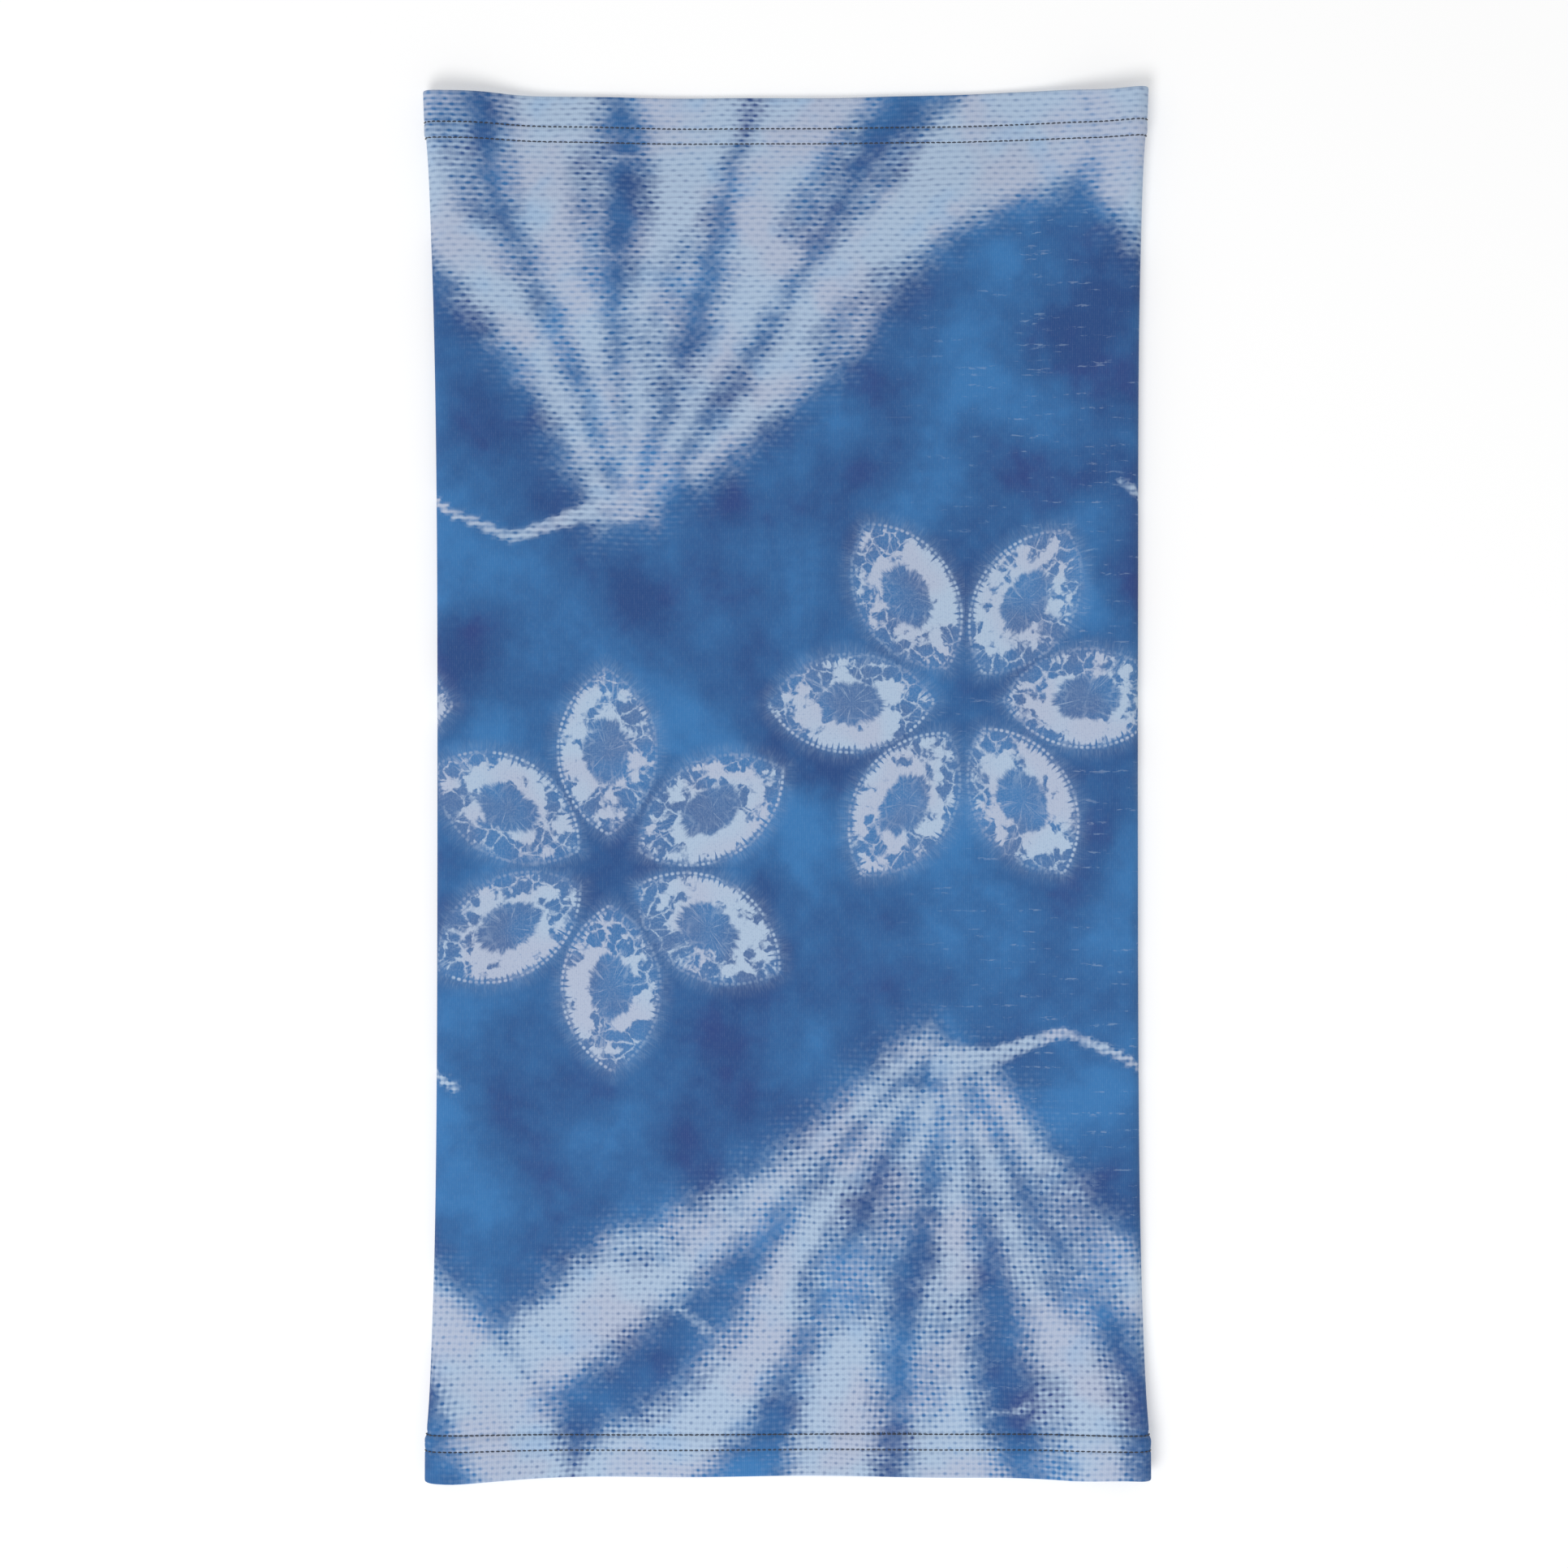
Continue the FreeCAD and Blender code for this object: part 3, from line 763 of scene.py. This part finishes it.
def dye_colour(g, at):
    """Mottled indigo ground."""
    pools = g.stir(at, 46.0, 1.0, 0.5, 1.6)
    big = g.stir(at, 30.0, 3.0, 0.55, 1.0)
    small = g.stir(at, 8.0, 4.0, 0.6, 0.45)
    shade = g.add(pools, g.add(big, small))
    low = g.ramp(shade, -0.40, 0.08)
    high = g.ramp(shade, -0.04, 0.42)
    purple = g.ramp(g.noise(at, 26.0, 2.0, 0.5), 0.45, 0.65)
    dark = g.mix(purple, DARK_BLUE, PURPLE_BLUE)
    return g.mix(high, g.mix(low, dark, MID_BLUE), LIGHT_BLUE)


def weave_pattern(g, at, x, y):
    """The coarse plain weave printed into the resist areas: staggered dark dashes, and pale ones."""
    wander = g.stir(at, 6.0, 2.0, 0.5, 1.1)
    drift = g.stir(at, 40.0, 1.0, 0.5, 6.0)
    wx = g.add(x, g.add(wander, drift))
    wy = g.add(y, g.mul(g.add(wander, drift), 0.6))
    round_dots = g.ramp(y, 40.0, -60.0)
    columns = g.mul(g.cosine(wx, WEAVE), g.add(0.12, g.mul(round_dots, 0.55)))
    threads = g.add(g.cosine(wy, WEAVE), columns)
    checks = g.mul(g.add(g.cosine(g.add(wx, wy), 2 * WEAVE), g.cosine(g.sub(wx, wy), 2 * WEAVE)), 0.5)
    each = g.noise(g.vector(g.mul(wx, 0.5), wy, 7.0), 1.9, 0.0, 0.5)
    uneven = g.add(0.32, g.mul(g.ramp(each, 0.3, 0.72), 0.55))
    dark_dashes = g.mul(g.sub(g.mul(checks, 0.7), threads), uneven)
    pale_dashes = g.mul(g.add(g.mul(checks, 0.5), threads), uneven)
    return dark_dashes, pale_dashes


def resist_mask(g, at, x, y):
    """How pale the resist print is, 0 to 1: a soft bleed, broken up by the weave."""
    field = g.value("resist")
    ragged = g.stir(at, 11.0, 4.0, 0.6, 1.3)
    grain = g.stir(at, 3.0, 3.0, 0.6, 0.5)
    unsure = g.sub(1.0, g.ramp(field, 0.45, 1.0))
    moved = g.add(field, g.mul(g.add(ragged, grain), g.add(0.25, g.mul(unsure, 0.75))))
    base = g.ramp(moved, -0.60, 0.95)
    ghost = g.mul(g.ramp(moved, -1.1, 0.0), 0.07)
    base = g.math("MAXIMUM", base, g.mul(ghost, g.ramp(g.noise(at, 14.0, 2.0, 0.5), 0.35, 0.6)))
    dark_dashes, pale_dashes = weave_pattern(g, at, x, y)
    slub = g.stir(g.vector(g.mul(x, 0.3), y), 1.2, 3.0, 0.6, 1.1)
    half_tone = g.mul(base, g.sub(1.0, base))
    in_pale = g.add(g.mul(g.ramp(base, 0.0, 0.5), 0.28), g.mul(half_tone, 0.5))
    in_dye = g.mul(g.ramp(moved, -1.05, -0.2), g.mul(g.sub(1.0, g.ramp(base, 0.05, 0.35)), 0.12))
    level = g.add(g.mul(base, 0.94), g.mul(in_pale, g.add(dark_dashes, slub)))
    level = g.add(level, g.mul(in_dye, g.add(pale_dashes, slub)))
    pick = g.ramp(g.noise(g.vector(g.mul(x, 0.05), g.mul(y, 0.5), 3.0), 1.0, 1.0, 0.5), 0.60, 0.68)
    ticks = g.ramp(g.noise(g.vector(g.mul(x, 0.3), y, 5.0), 0.9, 2.0, 0.6), 0.50, 0.64)
    level = g.math("MAXIMUM", level, g.mul(g.mul(pick, ticks), g.mul(g.ramp(x, 20.0, 90.0), 0.26)))
    return g.math("MINIMUM", g.math("MAXIMUM", level, 0.0), 1.0)


def petal_masks(g):
    """Pale cover of the stitched petals, the body inside their outline and the glow around."""
    _, u_raw, v_raw = g.map_mm("petal")
    seed = g.mul(g.value("petal_seed"), 41.0)
    local = g.vector(g.add(u_raw, seed), v_raw, 0.0)
    other = g.vector(v_raw, g.add(u_raw, g.add(seed, 17.0)), 0.0)

    def torn(place):
        """How far a place wanders, for torn, feathery edges."""
        return g.add(g.stir(place, 5.5, 2.0, 0.5, 3.2), g.stir(place, 1.3, 3.0, 0.6, 1.6))

    u = g.add(u_raw, torn(local))
    v = g.add(v_raw, torn(other))
    # the outline is two arcs of one radius, and each arc's centre lies "below" beyond the axis
    radius = (PETAL_HALF_LENGTH ** 2 + PETAL_HALF_WIDTH ** 2) / (2 * PETAL_HALF_WIDTH)
    below = radius - PETAL_HALF_WIDTH

    def inside_outline(along, aside):
        return g.sub(radius, g.length(along, g.add(g.math("ABSOLUTE", aside), below)))

    inside = inside_outline(u_raw, v_raw)
    torn_inside = inside_outline(u, v)
    run = g.mul(g.math("ARCTAN2", u_raw, g.add(g.math("ABSOLUTE", v_raw), below)), radius)
    beat = g.cosine(run, STITCH_STEP)
    gap = g.length(g.mul(g.sub(1.0, beat), 0.40), g.sub(inside, 0.4))
    one_side = g.add(0.35, g.mul(g.ramp(g.mul(v_raw, -1.0), -6.0, 6.0), 0.6))
    fade = g.ramp(g.noise(local, 9.0, 2.0, 0.5), 0.3, 0.6)
    dots = g.mul(g.sub(1.0, g.ramp(gap, 0.25, 0.85)), g.mul(one_side, fade))
    # comb of dye ticks that the drawn thread left on the rim
    comb = g.noise(g.vector(g.mul(run, 0.35), seed), 1.0, 2.0, 0.6)
    tick_depth = g.add(0.4, g.mul(g.ramp(comb, 0.42, 0.75), 3.4))
    tick_line = g.ramp(g.add(beat, g.stir(local, 1.0, 2.0, 0.5, 1.4)), 0.1, -0.9)
    rim = g.ramp(g.sub(torn_inside, g.mul(tick_line, tick_depth)), 0.6, 2.1)
    # dark oval middle, with streaks that run outward
    away = g.length(g.math("DIVIDE", u, 12.0), g.math("DIVIDE", v, 8.0))
    across = g.math("DIVIDE", v_raw, PETAL_HALF_WIDTH)
    angle = g.math("ARCTAN2", across, g.math("DIVIDE", u_raw, PETAL_HALF_LENGTH))

    def on_circle(size, slant):
        """A place on a circle, by the angle round the petal's middle."""
        east = g.mul(g.math("COSINE", angle), size)
        north = g.mul(g.math("SINE", angle), size)
        return g.vector(east, north, g.add(seed, g.mul(away, slant)))

    core_edge = g.add(away, g.stir(on_circle(3.2, 0.5), 0.9, 4.0, 0.7, 0.75))
    core = g.sub(1.0, g.ramp(core_edge, 0.86, 1.08))
    fine_rays = g.noise(on_circle(7.0, 0.7), 0.9, 3.0, 0.7)
    # leaf-like flakes of dye, split by pale cracks
    warped = g.vector(g.add(u, seed), v, 0.0)
    cracks = g.cell_edges(warped, 6.5)
    uneven = g.stir(local, 2.4, 3.0, 0.6, 0.30)
    crack = g.sub(1.0, g.ramp(g.add(cracks, uneven), -0.03, 0.09))
    tips = g.ramp(g.math("ABSOLUTE", u_raw), 6.0, 24.0)
    aside = g.ramp(v_raw, 2.0, 12.0)
    blotch = g.add(g.noise(warped, 8.0, 3.0, 0.55), g.add(g.mul(tips, 0.14), g.mul(aside, 0.135)))
    flake = g.ramp(blotch, 0.560, 0.635)
    open_flake = g.mul(flake, g.sub(1.0, g.mul(crack, 0.95)))
    lace = g.noise(local, 0.8, 3.0, 0.65)
    ring = g.mul(g.mul(rim, g.sub(1.0, open_flake)), g.sub(1.0, core))
    ring = g.mul(ring, g.add(0.75, g.mul(g.ramp(lace, 0.28, 0.5), 0.25)))
    hairs = g.mul(g.ramp(fine_rays, 0.55, 0.70), 0.42)
    in_body = g.ramp(torn_inside, -0.5, 3.0)
    veil = g.mul(g.add(hairs, g.mul(g.ramp(lace, 0.42, 0.72), 0.16)), in_body)
    core_cracks = g.mul(g.mul(crack, 0.35), g.ramp(away, 0.2, 0.9))
    pale = g.math("MAXIMUM", g.math("MAXIMUM", ring, dots), g.math("MAXIMUM", veil, core_cracks))
    pale = g.mul(pale, g.ramp(inside, -1.2, 0.6))
    body = g.ramp(torn_inside, -2.0, 2.0)
    hair_line = g.noise(g.vector(g.mul(run, 1.4), g.mul(inside, 0.22), seed), 1.0, 3.0, 0.65)
    halo = g.mul(g.ramp(inside, -6.5, 1.5), g.add(0.07, g.mul(g.ramp(hair_line, 0.4, 0.75), 0.22)))
    return pale, body, halo


KNIT_RELIEF = 0.0001                         # metres


def knit_height(g, x, y):
    """Ribs and courses of the knit."""
    rib = g.math("ABSOLUTE", g.cosine(x, 2 * RIB))
    course = g.cosine(g.add(y, g.mul(rib, 0.2)), COURSE)
    return g.add(rib, g.mul(course, 0.12))


def make_knit():
    """Printed outside, plain white inside."""
    g = Graph("printed_knit")
    at, x, y = g.map_mm("panel")
    ground = dye_colour(g, at)
    lilac = g.ramp(g.noise(at, 30.0, 2.0, 0.5), 0.42, 0.62)
    pale = g.mix(lilac, PALE, PALE_LILAC)
    pale = g.mix(g.mul(g.ramp(g.noise(at, 16.0, 2.0, 0.5), 0.52, 0.75), 0.5), pale, PALE_SKY)
    colour = g.mix(g.mul(resist_mask(g, at, x, y), 0.97), ground, pale)
    petal_pale, petal_body, halo = petal_masks(g)
    colour = g.mix(halo, colour, PALE)
    middle = g.mix(g.ramp(g.noise(at, 22.0), 0.35, 0.65), GREY_BLUE, LIGHT_BLUE)
    colour = g.mix(g.mul(petal_body, 0.6), colour, middle)
    petal_tint = g.mix(g.ramp(g.noise(at, 26.0, 1.0, 0.5), 0.40, 0.60), PALE_PETAL, PALE_LILAC)
    colour = g.mix(g.mul(petal_pale, 0.97), colour, petal_tint)
    height = knit_height(g, x, y)
    fleck = g.stir(g.vector(x, g.mul(y, 0.4)), 0.8, 2.0, 0.7, 0.16)
    # painted shade and highlight of the knit's relief: the colour goes darker in the rib grooves and paler
    # on the rib tops, mixed with random flecks of tone
    shade = g.add(g.mul(g.sub(height, 0.65), 0.08), fleck)
    rib_shade_and_fleck = g.mix(g.ramp(shade, -0.02, 0.02), DARK_BLUE, PALE)
    outside = g.mix(g.math("ABSOLUTE", shade), colour, rib_shade_and_fleck)
    white = g.mix(g.mul(resist_mask_inside(g), 0.10), linear(236, 238, 242), MID_BLUE)
    g.feed(g.shader.inputs["Base Color"], g.mix(g.value("printed"), white, outside))
    g.shader.inputs["Roughness"].default_value = 0.82
    g.shader.inputs["Specular IOR Level"].default_value = 0.12
    g.shader.inputs["Sheen Weight"].default_value = 0.04
    g.shader.inputs["Sheen Roughness"].default_value = 0.5
    g.feed(g.shader.inputs["Normal"], g.bump(height, KNIT_RELIEF, 0.5))
    return g.material


def resist_mask_inside(g):
    """Faint show-through of the print on the plain face."""
    return g.sub(1.0, g.ramp(g.value("resist"), -0.5, 0.8))


def make_thread():
    """Near-black spun polyester."""
    g = Graph("sewing_thread")
    ply = g.noise(g.in_mm(g.object_place()), 0.28, 2.0, 0.6)
    g.feed(g.shader.inputs["Base Color"], g.mix(ply, linear(20, 24, 34), linear(62, 68, 84)))
    g.shader.inputs["Roughness"].default_value = 0.7
    g.shader.inputs["Sheen Weight"].default_value = 0.2
    g.feed(g.shader.inputs["Normal"], g.bump(ply, 0.00008, 0.6))
    return g.material


def make_plain_knit():
    """White knit of the seam allowance."""
    g = Graph("plain_knit")
    place = g.in_mm(g.object_place())
    height = knit_height(g, *g.split(place))
    soft = g.noise(place, 3.0)
    g.feed(g.shader.inputs["Base Color"], g.mix(soft, linear(228, 231, 238), linear(242, 243, 245)))
    g.shader.inputs["Roughness"].default_value = 0.85
    g.feed(g.shader.inputs["Normal"], g.bump(height, KNIT_RELIEF, 0.5))
    return g.material


# ---------------------------------------------------------------- floor, light and camera
FLOOR_SIZE = 4.0
FLOOR_GLOW = 0.27                            # the floor's own light
SURROUND_STRENGTH = 0.57
SOFT_BOX_AT = (-0.65, -1.20, 2.15)
SOFT_BOX_SIZE = 1.2
SOFT_BOX_WATTS = 30.5
LENS = 85
SENSOR = 36
VIEW_WIDTH = 0.5590                          # metres across the picture at FOCUS_HEIGHT
FOCUS_HEIGHT = 0.006
CAMERA_X = -0.0013
CAMERA_Y = 0.0003


def make_floor():
    """Plain pale floor with a trace of its own light, as on a product table."""
    bpy.ops.mesh.primitive_plane_add(size=FLOOR_SIZE, location=(0, 0, 0))
    floor = bpy.context.object
    floor.name = "floor"
    g = Graph("floor")
    soft = g.noise(g.object_place(), 0.5)
    g.feed(g.shader.inputs["Base Color"], g.mix(soft, (0.80, 0.80, 0.80, 1), (0.82, 0.82, 0.82, 1)))
    g.shader.inputs["Roughness"].default_value = 0.9
    g.shader.inputs["Specular IOR Level"].default_value = 0.0
    g.shader.inputs["Emission Color"].default_value = (1, 1, 1, 1)
    g.shader.inputs["Emission Strength"].default_value = FLOOR_GLOW
    floor.data.materials.append(g.material)


def add_area(name, location, size, watts):
    """A soft box that faces the middle of the gaiter."""
    light = bpy.data.lights.new(name, "AREA")
    light.shape = "DISK"
    light.size = size
    light.energy = watts
    lamp = bpy.data.objects.new(name, light)
    lamp.location = location
    bpy.context.scene.collection.objects.link(lamp)
    x, y, z = location
    lamp.rotation_euler = (math.atan2(math.hypot(x, y), z), 0, math.atan2(y, x) + math.pi / 2)


def make_light():
    """Even white surroundings and one large soft box, towards the bottom hem and the left."""
    world = bpy.data.worlds.new("surroundings")
    bpy.context.scene.world = world
    world.use_nodes = True
    background = world.node_tree.nodes["Background"]
    background.inputs["Color"].default_value = (1, 1, 1, 1)
    background.inputs["Strength"].default_value = SURROUND_STRENGTH
    add_area("soft_box", SOFT_BOX_AT, SOFT_BOX_SIZE, SOFT_BOX_WATTS)


def make_camera():
    """Straight above, long lens."""
    camera = bpy.data.cameras.new("camera")
    camera.lens = LENS
    camera.sensor_width = SENSOR
    distance = VIEW_WIDTH * LENS / SENSOR
    holder = bpy.data.objects.new("camera", camera)
    holder.location = (CAMERA_X, CAMERA_Y, distance + FOCUS_HEIGHT)
    bpy.context.scene.collection.objects.link(holder)
    bpy.context.scene.camera = holder
    bpy.context.scene.view_settings.view_transform = "Standard"


knit = make_knit()
thread = make_thread()
plain = make_plain_knit()
cloth = build_cloth(knit)
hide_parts("knit_panel")
seam = build_seam(plain, thread)
for side, word in ((TOP, "top"), (BOTTOM, "bottom")):
    needle_row(f"{word}_hem_needle_thread_1", side, EDGE_ROW, thread)
    needle_row(f"{word}_hem_needle_thread_2", side, INNER_ROW, thread)
    looper_row(f"{word}_hem_looper_thread", side, thread)
make_floor()
make_light()
make_camera()
